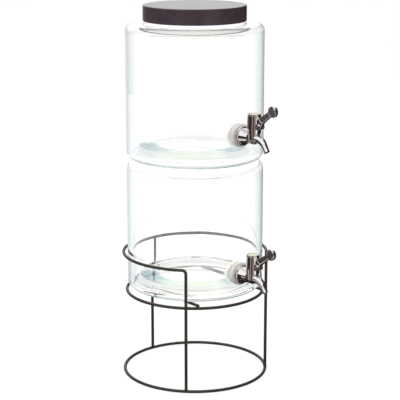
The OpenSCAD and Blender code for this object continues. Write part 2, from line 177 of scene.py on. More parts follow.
# Hoop with the two front legs, and the rear leg.
# One length of the same wire runs round the lower jar, open at the front for the tap, and is bent down at
# both ends into the front legs; the rear leg is a straight length. All feet are welded to the base ring.
def tube(path, side, radius, sides=24):
    """Round bar along a path in mm: at each point a circle stands square to the path.
    point = path + radius * (cos v * side + sin v * (tangent x side)), with side square to the path."""
    run = np.gradient(path, axis=0)
    run = run / np.linalg.norm(run, axis=1, keepdims=True)
    across = np.cross(run, side)
    v = np.linspace(0, 2 * np.pi, sides + 1)[None, :, None]
    return path[:, None] + radius * (np.cos(v) * side[:, None] + np.sin(v) * across[:, None])


def rod(start, end, side, radius, edge, sides=24):
    """Straight bar between two points with rounded ends: radius falls by a quarter circle of size edge."""
    start, end = np.asarray(start, float), np.asarray(end, float)
    along = (end - start) / np.linalg.norm(end - start)
    t = np.linspace(0, np.pi / 2, 7)
    first = start + np.outer(edge * (1 - np.sin(t)), along)[::-1]
    thin = (radius - edge + edge * np.cos(t))[::-1]
    path = np.concatenate([start[None], first, end - (first - start)[::-1], end[None]])
    radii = np.concatenate([[0], thin, thin[::-1], [0]])
    v = np.linspace(0, 2 * np.pi, sides + 1)[None, :, None]
    side = np.asarray(side, float)
    across = np.cross(along, side)
    return path[:, None] + radii[:, None, None] * (np.cos(v) * side + np.sin(v) * across)


hoop_z = 165.8
arc = np.linspace(half_gap - np.pi / 2, 3 * np.pi / 2 - half_gap, 161)
outward = np.stack([np.cos(arc), np.sin(arc), 0 * arc], -1)
hoop_line = ring_r * outward + [0, 0, hoop_z]
bend = np.linspace(0, np.pi / 2, 13)[1:]
leg_heights = np.linspace(hoop_z - leg_turn, wire_r, 12)[1:]


def hoop_end(line_end, radial, heading):
    """From the hoop's end the wire turns down by a quarter circle in the upright plane, then runs to the base
    ring; returns that path and the outward direction at each of its points."""
    turn = line_end + leg_turn * (np.outer(np.sin(bend), heading) + np.outer(np.cos(bend) - 1, [0, 0, 1]))
    leg = np.repeat(turn[-1:], len(leg_heights), 0)
    leg[:, 2] = leg_heights
    path = np.concatenate([turn, leg])
    return path, np.broadcast_to(radial, path.shape)


first_way = np.array([math.sin(arc[0]), -math.cos(arc[0]), 0.0])
last_way = np.array([-math.sin(arc[-1]), math.cos(arc[-1]), 0.0])
first_path, first_side = hoop_end(hoop_line[0], outward[0], first_way)
last_path, last_side = hoop_end(hoop_line[-1], outward[-1], last_way)
hoop_path = np.concatenate([first_path[::-1], hoop_line, last_path])
hoop_side = np.concatenate([first_side[::-1], outward, last_side])
foot_bead = (2.3, 2.7, 0.9)
foot_bead_z = 2 * wire_r - 0.2
foot_beads = [weld_bead((x, y, foot_bead_z), foot_bead, math.atan2(y, x)) for x, y in leg_places]
make_piece("hoop_front_legs_look", [tube(hoop_path, hoop_side, wire_r), *foot_beads[:2]], powder_coat,
           "stand", "hoop_front_legs")
rear_leg = rod((0, ring_r, wire_r), (0, ring_r, hoop_z), (1, 0, 0), wire_r, 0.3)
hoop_bead = weld_bead((0, ring_r, hoop_z - wire_r), (2.4, 2.4, 0.9))
make_piece("rear_leg_look", [rear_leg, foot_beads[2], hoop_bead], powder_coat, "stand", "rear_leg")


# Two support rods.
# Straight cut lengths of the wire lie from front to back across the shelf ring and are spot-welded to it.
# The lower jar's foot stands on them; their cut ends are slightly rounded by the coating.
rod_x = 55.0
rod_z = 118.05
rod_half = 75.3
rod_edge = 0.5
rod_bead = (1.6, 1.6, 0.8)
cross_y = math.sqrt(shelf_r ** 2 - rod_x ** 2)
for node_name, x in (("support_rod_left", -rod_x), ("support_rod_right", rod_x)):
    beads = [weld_bead((x, y, rod_z - wire_r), rod_bead) for y in (-cross_y, cross_y)]
    bar = rod((x, -rod_half, rod_z), (x, rod_half, rod_z), (1, 0, 0), wire_r, rod_edge)
    make_piece(node_name + "_look", [bar, *beads], powder_coat, "stand", node_name)


# Two glass jars.
# Each is pressed and blown soda-lime glass with a rounded heel and shoulder, a short neck, and a recess under
# its foot that takes the neck of the jar below. One hole low in the wall takes the tap's shank.
def fillet(corners, steps=10):
    """Outline through corners (a, b, radius) in mm: each corner is replaced by the arc of its radius that
    touches both neighbouring sides, and the ends stay as they are."""
    corners = np.asarray(corners, float)
    outline = [corners[:1, :2]]
    for before, corner, after in zip(corners[:-2], corners[1:-1], corners[2:]):
        if corner[2] == 0:
            outline.append(corner[None, :2])
            continue
        back = before[:2] - corner[:2]
        ahead = after[:2] - corner[:2]
        back = back / np.linalg.norm(back)
        ahead = ahead / np.linalg.norm(ahead)
        half = 0.5 * math.acos(np.clip(back @ ahead, -1, 1))
        middle = corner[:2] + (back + ahead) / np.linalg.norm(back + ahead) * corner[2] / math.sin(half)
        spread = np.linspace(-1, 1, steps) * (np.pi / 2 - half)
        inward = corner[:2] - middle
        inward = inward / np.linalg.norm(inward)
        turn = np.sign(back[0] * ahead[1] - back[1] * ahead[0]) or 1.0
        c, s = np.cos(spread * turn), np.sin(spread * turn)
        arc_way = np.stack([inward[0] * c - inward[1] * s, inward[0] * s + inward[1] * c], -1)
        outline.append(middle + corner[2] * arc_way[::-1])
    outline.append(corners[-1:, :2])
    return np.concatenate(outline)


def turned(profile, centre, axis, turns=96):
    """Lathe-turned surface: profile rows are (radius, distance along the axis) in mm, carried once round it.
    point = centre + distance * axis + radius * (cos v * a + sin v * b), with a and b square to the axis."""
    axis = np.asarray(axis, float)
    a = np.array([1.0, 0, 0]) if abs(axis[0]) < 0.5 else np.array([0, 1.0, 0])
    b = np.cross(axis, a)
    v = np.linspace(0, 2 * np.pi, turns + 1)[None, :, None]
    ring = np.cos(v) * a + np.sin(v) * b
    return np.asarray(centre, float) + profile[:, 1, None, None] * axis + profile[:, 0, None, None] * ring


def cut_away(piece, grid, sharp):
    """Takes one closed shape, given as a grid in mm, out of a piece with a Boolean modifier, and keeps the
    result as the piece's own mesh with no modifier left."""
    tool = join_grids("cutter", [grid])
    cutter = piece.modifiers.new("cut", "BOOLEAN")
    cutter.object = tool
    cutter.solver = "EXACT"
    bpy.context.view_layer.update()
    shaped = piece.evaluated_get(bpy.context.evaluated_depsgraph_get())
    mesh = bpy.data.meshes.new_from_object(shaped)
    piece.modifiers.clear()
    piece.data = mesh
    bpy.data.objects.remove(tool)
    piece.data.shade_smooth()
    piece.data.set_sharp_from_angle(angle=math.radians(sharp))


def turn_share(tree, vector):
    """Share of a full turn about the upright axis, 0 to 1, at which a vector points: 0.5 is front left, which
    is the photograph's side, 0.25 is to the left from there and 0.75 to the right. Turning by 129 degrees
    brings that side to the middle."""
    turned_way = add_node(tree, "ShaderNodeVectorRotate", {"Vector": vector, "Angle": math.radians(129)},
                          rotation_type="Z_AXIS")
    around = add_node(tree, "ShaderNodeTexGradient", {"Vector": turned_way.outputs["Vector"]},
                      gradient_type="RADIAL")
    return around.outputs["Fac"]


jar_r = 90.0
bore_r = 83.5
neck_r = 65.0
mouth_r = 60.0
recess_r = 69.0
floor_r = 75.0
floor_z = 18.0
shank_hole_r = 8.5
# Each jar's foot height, body height and the height of its tap's axis.
jar_sizes = {"lower": (120.3, 168.0, 155.1), "upper": (294.55, 174.4, 336.25)}

# Soda-lime glass: clear, with a little iron that shows blue-green where much glass lies behind the surface.
# That is at the upright outlines, at the heel, and round the floor's edge, the ridge beside it and the neck's
# rim. The colour also holds painted light: the outlines and the heel are darkened by painted shade for the
# dark surroundings seen through them, and the rings go from teal to pale green and back by the side of the
# jar as painted refracted light. Blown walls run wavy, about 40 mm from crest to crest.
glass, tree, shader, place = start_material(
    "soda_lime_glass", {"Roughness": 0.0, "IOR": 1.52, "Transmission Weight": 1.0})
waves = add_node(tree, "ShaderNodeTexNoise", {"Vector": place, "Scale": 25, "Detail": 1})
bump = add_node(tree, "ShaderNodeBump", {"Height": waves.outputs["Fac"], "Strength": 0.06, "Distance": 0.004})
tree.links.new(bump.outputs["Normal"], shader.inputs["Normal"])

# Where a point of the glass lies: its slope, its distance from the axis and its height, which is counted anew
# at each step from foot to foot.
normal = add_node(tree, "ShaderNodeNewGeometry").outputs["Normal"]
slope = add_node(tree, "ShaderNodeSeparateXYZ", {"Vector": normal})
slope = add_node(tree, "ShaderNodeMath", {0: slope.outputs["Z"]}, operation="ABSOLUTE").outputs[0]
sideways = add_node(tree, "ShaderNodeVectorMath", {0: place, 1: (1, 1, 0)}, operation="MULTIPLY")
radius = add_node(tree, "ShaderNodeVectorMath", {0: sideways.outputs["Vector"]}, operation="LENGTH")
radius = radius.outputs["Value"]
lower_foot = jar_sizes["lower"][0] / 1000
foot_step = (jar_sizes["upper"][0] - jar_sizes["lower"][0]) / 1000
height = add_node(tree, "ShaderNodeSeparateXYZ", {"Vector": place})
height = add_node(tree, "ShaderNodeMath", {0: height.outputs["Z"], 1: lower_foot}, operation="SUBTRACT")
height = add_node(tree, "ShaderNodeMath", {0: height.outputs[0], 1: foot_step}, operation="MODULO").outputs[0]

# Upright outlines: upright walls darken to blue-grey as they turn away, the inner wall less than the outer.
# This is the iron's tint together with painted shade for the dark surroundings seen through the edge.
edge = add_node(tree, "ShaderNodeLayerWeight", {"Blend": 0.5})
upright = add_node(tree, "ShaderNodeMapRange", {"Value": slope, "From Min": 0.1, "From Max": 0.4,
                                                "To Min": 1.0, "To Max": 0.0})
outer = add_node(tree, "ShaderNodeMapRange", {"Value": radius, "From Min": 0.084, "From Max": 0.087,
                                              "To Min": 0.8, "To Max": 1.0})
steep = add_node(tree, "ShaderNodeMath", {0: edge.outputs["Facing"], 1: upright.outputs["Result"]},
                 operation="MULTIPLY")
steep = add_node(tree, "ShaderNodeMath", {0: steep.outputs[0], 1: outer.outputs["Result"]},
                 operation="MULTIPLY")
outline_tint_and_shade = add_node(tree, "ShaderNodeValToRGB", {"Fac": steep.outputs[0]},
                        [(0.0, linear("#ffffff")), (0.45, linear("#ffffff")), (0.50, linear("#f8fbfc")),
                         (0.56, linear("#eff5f8")), (0.63, linear("#e4edf0")), (0.70, linear("#cedade")),
                         (0.77, linear("#aebcc2")), (1.0, linear("#bcc7cc"))])

# Heel: the rounded corner at the foot, where neither wall nor underside is flat, is grey-green: the iron's
# tint together with painted shade for the dark line that the curve shows.
no, yes = (0, 0, 0, 1), (1, 1, 1, 1)
curve = add_node(tree, "ShaderNodeValToRGB", {"Fac": slope},
                 [(0.0, no), (0.35, no), (0.55, yes), (0.97, yes), (0.995, no)])
low = add_node(tree, "ShaderNodeMath", {0: height, 1: 0.0062}, operation="LESS_THAN")
wide = add_node(tree, "ShaderNodeMath", {0: radius, 1: 0.0775}, operation="GREATER_THAN")
heel = add_node(tree, "ShaderNodeMath", {0: low.outputs[0], 1: wide.outputs[0]}, operation="MULTIPLY")
heel = add_node(tree, "ShaderNodeMath", {0: curve.outputs["Color"], 1: heel.outputs[0]}, operation="MULTIPLY")
heel_tint_and_shade = add_node(tree, "ShaderNodeMixRGB",
                     {"Fac": heel.outputs[0], "Color1": outline_tint_and_shade.outputs["Color"],
                      "Color2": linear("#b3c3c1")})

# Floor's edge, ridge and neck rim: masks by distance and height, tinted by the side of the jar they are on.
# The side colours are painted refracted light: teal on either side of share 0.5 and pale green round it.
# A ring's place is its distance from the axis, half its width, its height and half its thickness, in metres.
ridge_place = (0.0745, 0.003, 0.0122, 0.0055)
rim_place = (0.0625, 0.0035, 0.0104, 0.0015)
rings = []
for ring_at, ring_wide, ring_up, ring_tall in (ridge_place, rim_place):
    near_r = add_node(tree, "ShaderNodeMath", {0: radius, 1: ring_at, 2: ring_wide}, operation="COMPARE")
    near_z = add_node(tree, "ShaderNodeMath", {0: height, 1: ring_up, 2: ring_tall}, operation="COMPARE")
    rings.append(add_node(tree, "ShaderNodeMath", {0: near_r.outputs[0], 1: near_z.outputs[0]},
                          operation="MULTIPLY").outputs[0])
rings = add_node(tree, "ShaderNodeMath", {0: rings[0], 1: rings[1]}, operation="MAXIMUM")
rings = add_node(tree, "ShaderNodeMath", {0: rings.outputs[0], 1: 0.4}, operation="MULTIPLY")
pool_r = add_node(tree, "ShaderNodeMapRange", {"Value": radius, "From Min": 0.046, "From Max": 0.055})
pool_z = add_node(tree, "ShaderNodeMath", {0: height, 1: floor_z / 1000, 2: 0.0012}, operation="COMPARE")
inside = add_node(tree, "ShaderNodeMath", {0: radius, 1: 0.0725}, operation="LESS_THAN")
pool = add_node(tree, "ShaderNodeMath", {0: pool_r.outputs["Result"], 1: pool_z.outputs[0]},
                operation="MULTIPLY")
pool = add_node(tree, "ShaderNodeMath", {0: pool.outputs[0], 1: inside.outputs[0]}, operation="MULTIPLY")
thick = add_node(tree, "ShaderNodeMath", {0: rings.outputs[0], 1: pool.outputs[0]}, operation="MAXIMUM")
# Painted refracted light: teal and pale green by the side of the jar, over the thick rings.
painted_refraction_tint = add_node(tree, "ShaderNodeValToRGB", {"Fac": turn_share(tree, place)},
                     [(0.0, linear("#ffffff")), (0.18, linear("#fafdfd")), (0.23, linear("#f0f7f7")),
                      (0.26, linear("#547f8a")), (0.36, linear("#6f9fa2")), (0.41, linear("#cbe4ca")),
                      (0.5, linear("#d8edca")), (0.57, linear("#cbe4ca")), (0.61, linear("#76a2a4")),
                      (0.67, linear("#66939b")), (0.72, linear("#f0f7f7")), (1.0, linear("#ffffff"))])
# Glass colour: the iron's tint with the painted shade and painted refracted light above.
tint_and_painted_light = add_node(tree, "ShaderNodeMixRGB",
                      {"Fac": thick.outputs[0], "Color1": heel_tint_and_shade.outputs["Color"],
                       "Color2": painted_refraction_tint.outputs["Color"]})
tree.links.new(tint_and_painted_light.outputs["Color"], shader.inputs["Base Color"])

crisp_glass = 60
longest_step = 6
for level, (foot_z, body_h, tap_z) in jar_sizes.items():
    rim_z = body_h + 18
    inner_top = body_h - 6.5
    outline = fillet([
        (0, 12, 0), (recess_r, 12, 3), (recess_r, 0, 1.2), (jar_r, 0, 9), (jar_r, body_h, 8),
        (neck_r, body_h, 3), (neck_r, rim_z, 2.4), (mouth_r, rim_z, 2.4), (mouth_r, inner_top, 1.5),
        (bore_r, inner_top, 4), (bore_r, 7, 4.2), (floor_r, 7, 4.2), (floor_r, floor_z, 4),
        (0, floor_z, 0)], 14)
    lengths = np.linalg.norm(np.diff(outline, axis=0), axis=1)
    splits = np.maximum(1, np.ceil(lengths / longest_step).astype(int))
    steps = np.concatenate([[0], np.cumsum(splits)])
    outline = np.stack([np.interp(np.arange(steps[-1] + 1), steps, outline[:, k]) for k in (0, 1)], -1)
    jar_grid = turned(outline, (0, 0, foot_z), (0, 0, 1), 180)
    jar = make_piece(level + "_jar_look", [jar_grid], glass, level + "_jar_assembly", level + "_jar",
                     crisp_glass)
    hole = rod((0, -jar_r - 6, tap_z), (0, -bore_r + 12, tap_z), (1, 0, 0), shank_hole_r, 0.1)
    cut_away(jar, hole, crisp_glass)
    # Clear glass passes nearly all light, so the jars cast no shadow.
    jar.visible_shadow = False
    jar.visible_glossy = False


# Washers and nut of the taps.
# Moulded cream silicone washers seal the hole from outside and inside; their faces follow the curve of the
# glass. A white nylon nut on the shank's inner end draws the flange and both washers tight.

# Silicone: soft and slightly see-through, so light spreads in it and its edges look pale. It is clouded by
# filler in patches of about 4.5 mm.
silicone, tree, shader, place = start_material(
    "cream_silicone", {"Roughness": 0.5, "IOR": 1.41, "Subsurface Weight": 0.5, "Subsurface Scale": 0.005,
                       "Subsurface Radius": (1.0, 0.9, 0.7)})
cloud = add_node(tree, "ShaderNodeTexNoise", {"Vector": place, "Scale": 220, "Detail": 2})
shade = add_node(tree, "ShaderNodeValToRGB", {"Fac": cloud.outputs["Fac"]},
                 [(0.3, linear("#f2efe3")), (0.7, linear("#faf8f0"))])
tree.links.new(shade.outputs["Color"], shader.inputs["Base Color"])

# Nylon: moulded white, with a dull shine and flow marks of about 3.3 mm.
nylon, tree, shader, place = start_material("white_nylon", {"Roughness": 0.42, "IOR": 1.53})
cloud = add_node(tree, "ShaderNodeTexNoise", {"Vector": place, "Scale": 300, "Detail": 2})
shade = add_node(tree, "ShaderNodeValToRGB", {"Fac": cloud.outputs["Fac"]},
                 [(0.3, linear("#f3f2ed")), (0.7, linear("#faf9f5"))])
tree.links.new(shade.outputs["Color"], shader.inputs["Base Color"])


def on_tap(grid, level):
    """Puts points (sideways, out from the glass, up from the shank's axis) in mm on one jar's wall."""
    return np.stack([grid[..., 0], -jar_r - grid[..., 1], jar_sizes[level][2] + grid[..., 2]], -1)


def fitted_washer(profile, curve_r, rows_on_glass):
    """Turned ring whose marked rows lie on a cylinder of radius curve_r about the jar's axis: there
    out = sqrt(curve_r^2 - sideways^2) - jar_r, and the other rows keep their own distance out."""
    grid = turned(profile, (0, 0, 0), (0, 1, 0))
    glass_out = np.sqrt(curve_r ** 2 - grid[..., 0] ** 2) - jar_r
    grid[..., 1] = np.where(rows_on_glass[:, None], glass_out, grid[..., 1])
    return grid


def hexagon_nut(flats, bore, thick, chamfer, turns=96):
    """Six-sided nut along the shank: radius = flats/2 / cos(angle from the nearest flat's middle), cut by a
    chamfer cone at both faces. The first row and the last two are the bore."""
    v = np.linspace(0, 2 * np.pi, turns + 1)[None, :]
    side = flats / 2 / np.cos(v % (np.pi / 3) - np.pi / 6)
    along = [0, 0, chamfer, chamfer * 2, thick - 2 * chamfer, thick - chamfer, thick, thick, 0]
    along = np.array(along)[:, None]
    cone = flats / 2 + np.array([0, -0.6, 1.0, 9, 9, 1.0, -0.6, 0, 0])[:, None]
    in_bore = np.array([True, False, False, False, False, False, False, True, True])[:, None]
    reach = np.where(in_bore, bore, np.minimum(side, cone))
    return np.stack([reach * np.cos(v), along + 0 * v, reach * np.sin(v)], -1)


washer_r = 15
washer_hole_r = 7.9
skin = 0.1
ridges = [(15, 3.2), (14.5, 2.9), (14.5, 2.5), (15, 2.2), (15, 1.5), (14.5, 1.2), (14.5, 0.8), (15, 0.5)]
outer_profile = np.array([
    (washer_hole_r, -3), (washer_hole_r, 4.55), (14.4, 4.55), (14.8, 4.4), (washer_r, 4.0), *ridges,
    (washer_r, -3), (washer_hole_r, -3)])
inner_profile = np.array([
    (washer_hole_r, -8.9), (14.4, -8.9), (14.8, -8.75), (washer_r, -8.4), (washer_r, -6), (washer_hole_r, -6),
    (washer_hole_r, -8.9)])
outer_washer = fitted_washer(outer_profile, jar_r + skin, outer_profile[:, 1] < 0)
inner_washer = fitted_washer(inner_profile, bore_r - skin, inner_profile[:, 1] > -6.5)
nut = hexagon_nut(27, 7.83, 5, 0.7)
nut[..., 1] -= 13.95
for level in jar_sizes:
    body = level + "_jar_assembly"
    make_piece(level + "_outer_washer_look", [on_tap(outer_washer, level)], silicone, body,
               level + "_outer_washer")
    make_piece(level + "_inner_washer_look", [on_tap(inner_washer, level)], silicone, body,
               level + "_inner_washer")
    make_piece(level + "_shank_nut_look", [on_tap(nut, level)], nylon, body, level + "_shank_nut",
               25)


# Body of each tap.
# A zinc casting, polished and plated: a threaded shank through the glass, a round flange against the outer
# washer, a tapered collar and a rounded elbow that carries the barrel and the spout.

# Nickel plate: a bright mirror with a faint warm cast, hazed by polishing in patches of about 2.5 mm.
plate_metal, tree, shader, place = start_material("polished_nickel_plate", {"Metallic": 1.0})
haze = add_node(tree, "ShaderNodeTexNoise", {"Vector": place, "Scale": 400, "Detail": 3})
polish = add_node(tree, "ShaderNodeMapRange", {"Value": haze.outputs["Fac"], "To Min": 0.05, "To Max": 0.11})
shade = add_node(tree, "ShaderNodeValToRGB", {"Fac": haze.outputs["Fac"]},
                 [(0.3, linear("#f2eeeb")), (0.7, linear("#f8f5f3"))])
tree.links.new(shade.outputs["Color"], shader.inputs["Base Color"])
tree.links.new(polish.outputs["Result"], shader.inputs["Roughness"])

barrel_out = 27.1
spout_out = 33.3
shank_bore = 4
chamber_r = 5.5
chamber_floor = -5.8
mouth_cut = 5.6
crisp_metal = 30
thread_pitch = 1.5
thread_out = np.linspace(-14.6, -8.4, 45)
thread = np.stack([7.5 + 0.28 * np.cos(2 * np.pi * thread_out / thread_pitch), thread_out], -1)
shank_profile = np.concatenate([
    [(shank_bore, 20), (shank_bore, -15.1), (7.0, -15.1)], thread, [(7.8, -8.2), (7.8, 4.6)],
    fillet([(7.8, 4.6, 0), (12.2, 4.6, 0.5), (12.2, 6.2, 0.2), (11.5, 6.2, 0.2), (11.5, 6.9, 0.2),
            (12.2, 6.9, 0.3), (12.2, 8.6, 0.6), (10.75, 8.6, 0.5), (10.4, 10.0, 3), (8.9, 15, 6),
            (7.6, 20.8, 5), (7.55, barrel_out, 0)], 6),
    [(shank_bore, barrel_out), (shank_bore, 20)]])
bowl_profile = fillet([
    (0, -7.7, 0), (7.7, -7.7, 7.0), (7.7, 6.4, 0.3), (7.3, 6.75, 0.1), (chamber_r, 6.75, 0),
    (chamber_r, chamber_floor, 0), (0, chamber_floor, 0)], 20)
stub_profile = np.array([(0, barrel_out), (6.1, barrel_out), (6.1, spout_out - 0.05), (0, spout_out - 0.05)])
spigot_profile = np.array([(chamber_r, 6.0), (7, 6.0), (7, 10), (chamber_r, 10), (chamber_r, 6.0)])
shank = turned(shank_profile, (0, 0, 0), (0, 1, 0))
stub = turned(stub_profile, (0, 0, 0), (0, 1, 0), 64)

# The shank and the spout's stub end on the chamber's round wall, so the chamber stays empty.
for tube_grid, side, keep in ((shank, -1, np.minimum), (stub, 1, np.maximum)):
    mouth = np.sqrt(np.clip(mouth_cut ** 2 - tube_grid[..., 0] ** 2, 0, None))
    mouth = np.where(tube_grid[..., 2] > chamber_floor, mouth, 0)
    tube_grid[..., 1] = keep(tube_grid[..., 1], barrel_out + side * mouth)
body_grids = [shank, turned(bowl_profile, (0, barrel_out, 0), (0, 0, 1)), stub,
              turned(spigot_profile, (0, barrel_out, 0), (0, 0, 1))]
for level in jar_sizes:
    make_piece(level + "_tap_body_look", [on_tap(grid, level) for grid in body_grids], plate_metal,
               level + "_jar_assembly", level + "_tap_body", crisp_metal)


# Spouts.
# Each is part of the same plated metalwork: a round nozzle that leaves the elbow level, bends down through
# 54.5 degrees and narrows to its open tip.
def spout_grid(bend_r=15.5, bend_by=54.5, straight=9.8, tip_r=3.8, flare=2.3, bore=2.4, sides=64):
    """Nozzle with its bore: a circle is carried along an arc of radius bend_r and then straight on while its
    radius falls as tip_r + flare * (1 - share)^2; at the tip it turns over the rim and runs back as bore."""
    arc_len = bend_r * math.radians(bend_by)
    last = 40
    s = np.linspace(0, arc_len + straight, last + 1)
    angle = np.minimum(s, arc_len) / bend_r
    past = np.maximum(s - arc_len, 0)
    y = spout_out + bend_r * np.sin(angle) + past * np.cos(angle)
    z = -bend_r * (1 - np.cos(angle)) - past * np.sin(angle)
    radius = tip_r + flare * (1 - s / s[-1]) ** 2
    rim = np.linspace(0, np.pi, 9)[1:]
    rim_half = (tip_r - bore) / 2
    rim_deep = 0.35
    back = np.arange(last, 14, -2)
    rows = np.concatenate([[0], np.arange(last + 1), np.full(len(rim), last), back, back[-1:]])
    rim_radii = bore + rim_half + rim_half * np.cos(rim)
    radii = np.concatenate([[0], radius, rim_radii, np.full(len(back), bore), [0]])
    shift = np.concatenate([np.zeros(last + 2), rim_deep * np.sin(rim), np.zeros(len(back) + 1)])
    path = np.stack([0 * y, y, z], -1)[rows]
    run = np.stack([0 * angle, np.cos(angle), -np.sin(angle)], -1)[rows]
    path = path - (rim_deep - shift)[:, None] * run * (rows == last)[:, None]
    side = np.array([1.0, 0, 0])
    across = np.cross(run, side)
    v = np.linspace(0, 2 * np.pi, sides + 1)[None, :, None]
    return path[:, None] + radii[:, None, None] * (np.cos(v) * side + np.sin(v) * across[:, None])


for level in jar_sizes:
    make_piece(level + "_tap_spout_look", [on_tap(spout_grid(), level)], plate_metal, level + "_jar_assembly",
               level + "_tap_spout", 50)


# Bonnets, pins and caps.
# The bonnet is a plated sleeve, slightly tapered, with a narrower skirt below and two ears in front that hold
# the lever's steel pin. A turned plated cap closes its top; its pale yellow is a painted warm reflection.

# Cap plate: a metal with a soft shine whose pale yellow is a painted reflection of warm light. It is spotted
# by handling in patches of about 2 mm.
cap_plate_with_painted_reflection, tree, shader, place = start_material("cap_plate_painted_reflection", {"Metallic": 1.0, "Roughness": 0.22})
spots = add_node(tree, "ShaderNodeTexNoise", {"Vector": place, "Scale": 500, "Detail": 2})
shade = add_node(tree, "ShaderNodeValToRGB", {"Fac": spots.outputs["Fac"]},
                 [(0.3, linear("#dcd6b4")), (0.7, linear("#e9e4c8"))])
tree.links.new(shade.outputs["Color"], shader.inputs["Base Color"])

# Drawn steel: grey with a dull shine, its drawing marks shown as patches of about 1.1 mm.
drawn_steel, tree, shader, place = start_material("drawn_steel", {"Metallic": 1.0, "Roughness": 0.3})
marks = add_node(tree, "ShaderNodeTexNoise", {"Vector": place, "Scale": 900, "Detail": 2})
shade = add_node(tree, "ShaderNodeValToRGB", {"Fac": marks.outputs["Fac"]},
                 [(0.3, linear("#a5a4a1")), (0.7, linear("#bab9b6"))])
tree.links.new(shade.outputs["Color"], shader.inputs["Base Color"])

pin_out = 37.7
pin_up = 15.7
pin_r = 1.2
pin_half = 5.2
slot_half = 3.25
sleeve = fillet([
    (7.1, 6.8, 0), (8.6, 6.8, 0.3), (8.6, 12.4, 0.2), (9.4, 12.4, 0.35), (8.4, 29.2, 0.3), (6.2, 29.2, 0.2),
    (6.2, 10.25, 0.1), (7.1, 10.25, 0.1), (7.1, 6.8, 0)], 6)
cap_profile = fillet([
    (0, 27.2, 0), (6.1, 27.2, 0.3), (6.1, 29.25, 0.1), (8.4, 29.25, 0.2), (8.4, 31.2, 0.7), (6.6, 31.2, 0.3),
    (6.3, 30.85, 0.3), (0, 31.0, 0)], 8)


def box_grid(low, high):
    """Closed box between two corners in mm, as a square section carried from one end to the other."""
    x = np.array([low[0], high[0], high[0], low[0], low[0]])
    z = np.array([low[2], low[2], high[2], high[2], low[2]])
    ends = np.array([low[1], low[1], high[1], high[1]])[:, None]
    shrink = np.array([0, 1, 1, 0])[:, None]
    middle_x, middle_z = (low[0] + high[0]) / 2, (low[2] + high[2]) / 2
    x = middle_x + shrink * (x - middle_x)
    z = middle_z + shrink * (z - middle_z)
    return np.stack([x, ends + 0 * x, z], -1)


def ear_grid(side, half=3.5, root=31.1):
    """Plate 1.8 mm thick with a round end about the pin: the outline has the given half height, its end is
    the half circle about the pin, and its faces are rounded over at their edges."""
    t = np.linspace(-np.pi / 2, np.pi / 2, 25)
    outline = np.concatenate([[(root, -half)], np.stack([pin_out + half * np.cos(t), half * np.sin(t)], -1),
                              [(root, half), (root, -half)]])
    middle = np.array([pin_out - 1, 0])
    x = slot_half + np.array([0, 0, 0.15, 1.65, 1.8, 1.8])
    size = np.array([0, 0.93, 1, 1, 0.93, 0])[:, None, None]
    section = middle + size * (outline - middle)
    return np.stack([side * x[:, None] + 0 * section[..., 0], section[..., 0], pin_up + section[..., 1]], -1)


sleeve_grid = turned(sleeve, (0, barrel_out, 0), (0, 0, 1))
lever_slot = box_grid((-slot_half, barrel_out, 12.1), (slot_half, 50, 24.1))
cap_grid = turned(cap_profile, (0, barrel_out, 0), (0, 0, 1))
pin = rod((-pin_half, pin_out, pin_up), (pin_half, pin_out, pin_up), (0, 1, 0), pin_r, 0.4)
for level in jar_sizes:
    body = level + "_jar_assembly"
    bonnet = make_piece(level + "_tap_bonnet_look", [on_tap(sleeve_grid, level)], plate_metal, body,
                        level + "_tap_bonnet", crisp_metal)
    cut_away(bonnet, on_tap(lever_slot, level), crisp_metal)
    make_piece(level + "_bonnet_ears", [on_tap(ear_grid(side), level) for side in (-1, 1)], plate_metal, body,
               level + "_tap_bonnet", crisp_metal)
    make_piece(level + "_tap_cap_look", [on_tap(cap_grid, level)], cap_plate_with_painted_reflection, body, level + "_tap_cap",
               crisp_metal)
    make_piece(level + "_lever_pin_look", [on_tap(pin, level)], drawn_steel, body, level + "_lever_pin")


# Levers.
# Each is a plated casting that turns on the pin: a flat bar rises from the hub to a coin-shaped grip, and a
# fork inside the barrel lifts the valve's stem when the grip is pressed down.
def bar_grid(points, halves, thick, corner, sides=48):
    """Flat bar along a line in the upright plane: a rounded rectangle of the given half widths and half
    thicknesses is carried along it. Its section is the superellipse cos^corner, sin^corner."""
    run = np.gradient(points, axis=0)
    run = run / np.linalg.norm(run, axis=1, keepdims=True)
    across = np.stack([-run[:, 1], run[:, 0]], -1)
    v = np.linspace(0, 2 * np.pi, sides + 1)[None, :]
    wide = np.sign(np.cos(v)) * np.abs(np.cos(v)) ** corner
    deep = np.sign(np.sin(v)) * np.abs(np.sin(v)) ** corner
    section = points[:, None, :] + (halves[:, None] * wide)[..., None] * across[:, None, :]
    return np.stack([thick[:, None] * deep, section[..., 0], section[..., 1]], -1)


def lever_line(start, bend_at, end, bend_r):
    """Line start, bend, end with the bend rounded, and each point's share along it: 0 at the start, 1 at the
    bend and 2 at the end."""
    middle = fillet([(*start, 0), (*bend_at, bend_r), (*end, 0)], 15)
    fine = np.linspace(0, len(middle) - 1, 3 * len(middle))
    middle = np.stack([np.interp(fine, np.arange(len(middle)), column) for column in middle.T], -1)
    length = np.concatenate([[0], np.cumsum(np.linalg.norm(np.diff(middle, axis=0), axis=1))])
    first = math.dist(start, bend_at)
    return middle, np.interp(length, [0, first, length[-1]], [0, 1, 2])


def rounded_ends(line, halves, thick):
    """Adds a half circle to both ends of a bar's line: points run on by half * sin t while the half width
    falls as half * cos t."""
    t = np.linspace(0, np.pi / 2, 10)[1:]
    first_way = (line[0] - line[1]) / np.linalg.norm(line[0] - line[1])
    last_way = (line[-1] - line[-2]) / np.linalg.norm(line[-1] - line[-2])
    head = line[0] + np.outer(halves[0] * np.sin(t), first_way)[::-1]
    tail = line[-1] + np.outer(halves[-1] * np.sin(t), last_way)
    halves = np.concatenate([halves[0] * np.cos(t)[::-1], halves, halves[-1] * np.cos(t)])
    thick = np.concatenate([np.full(len(t), thick[0]), thick, np.full(len(t), thick[-1])])
    return np.concatenate([head, line, tail]), halves, thick


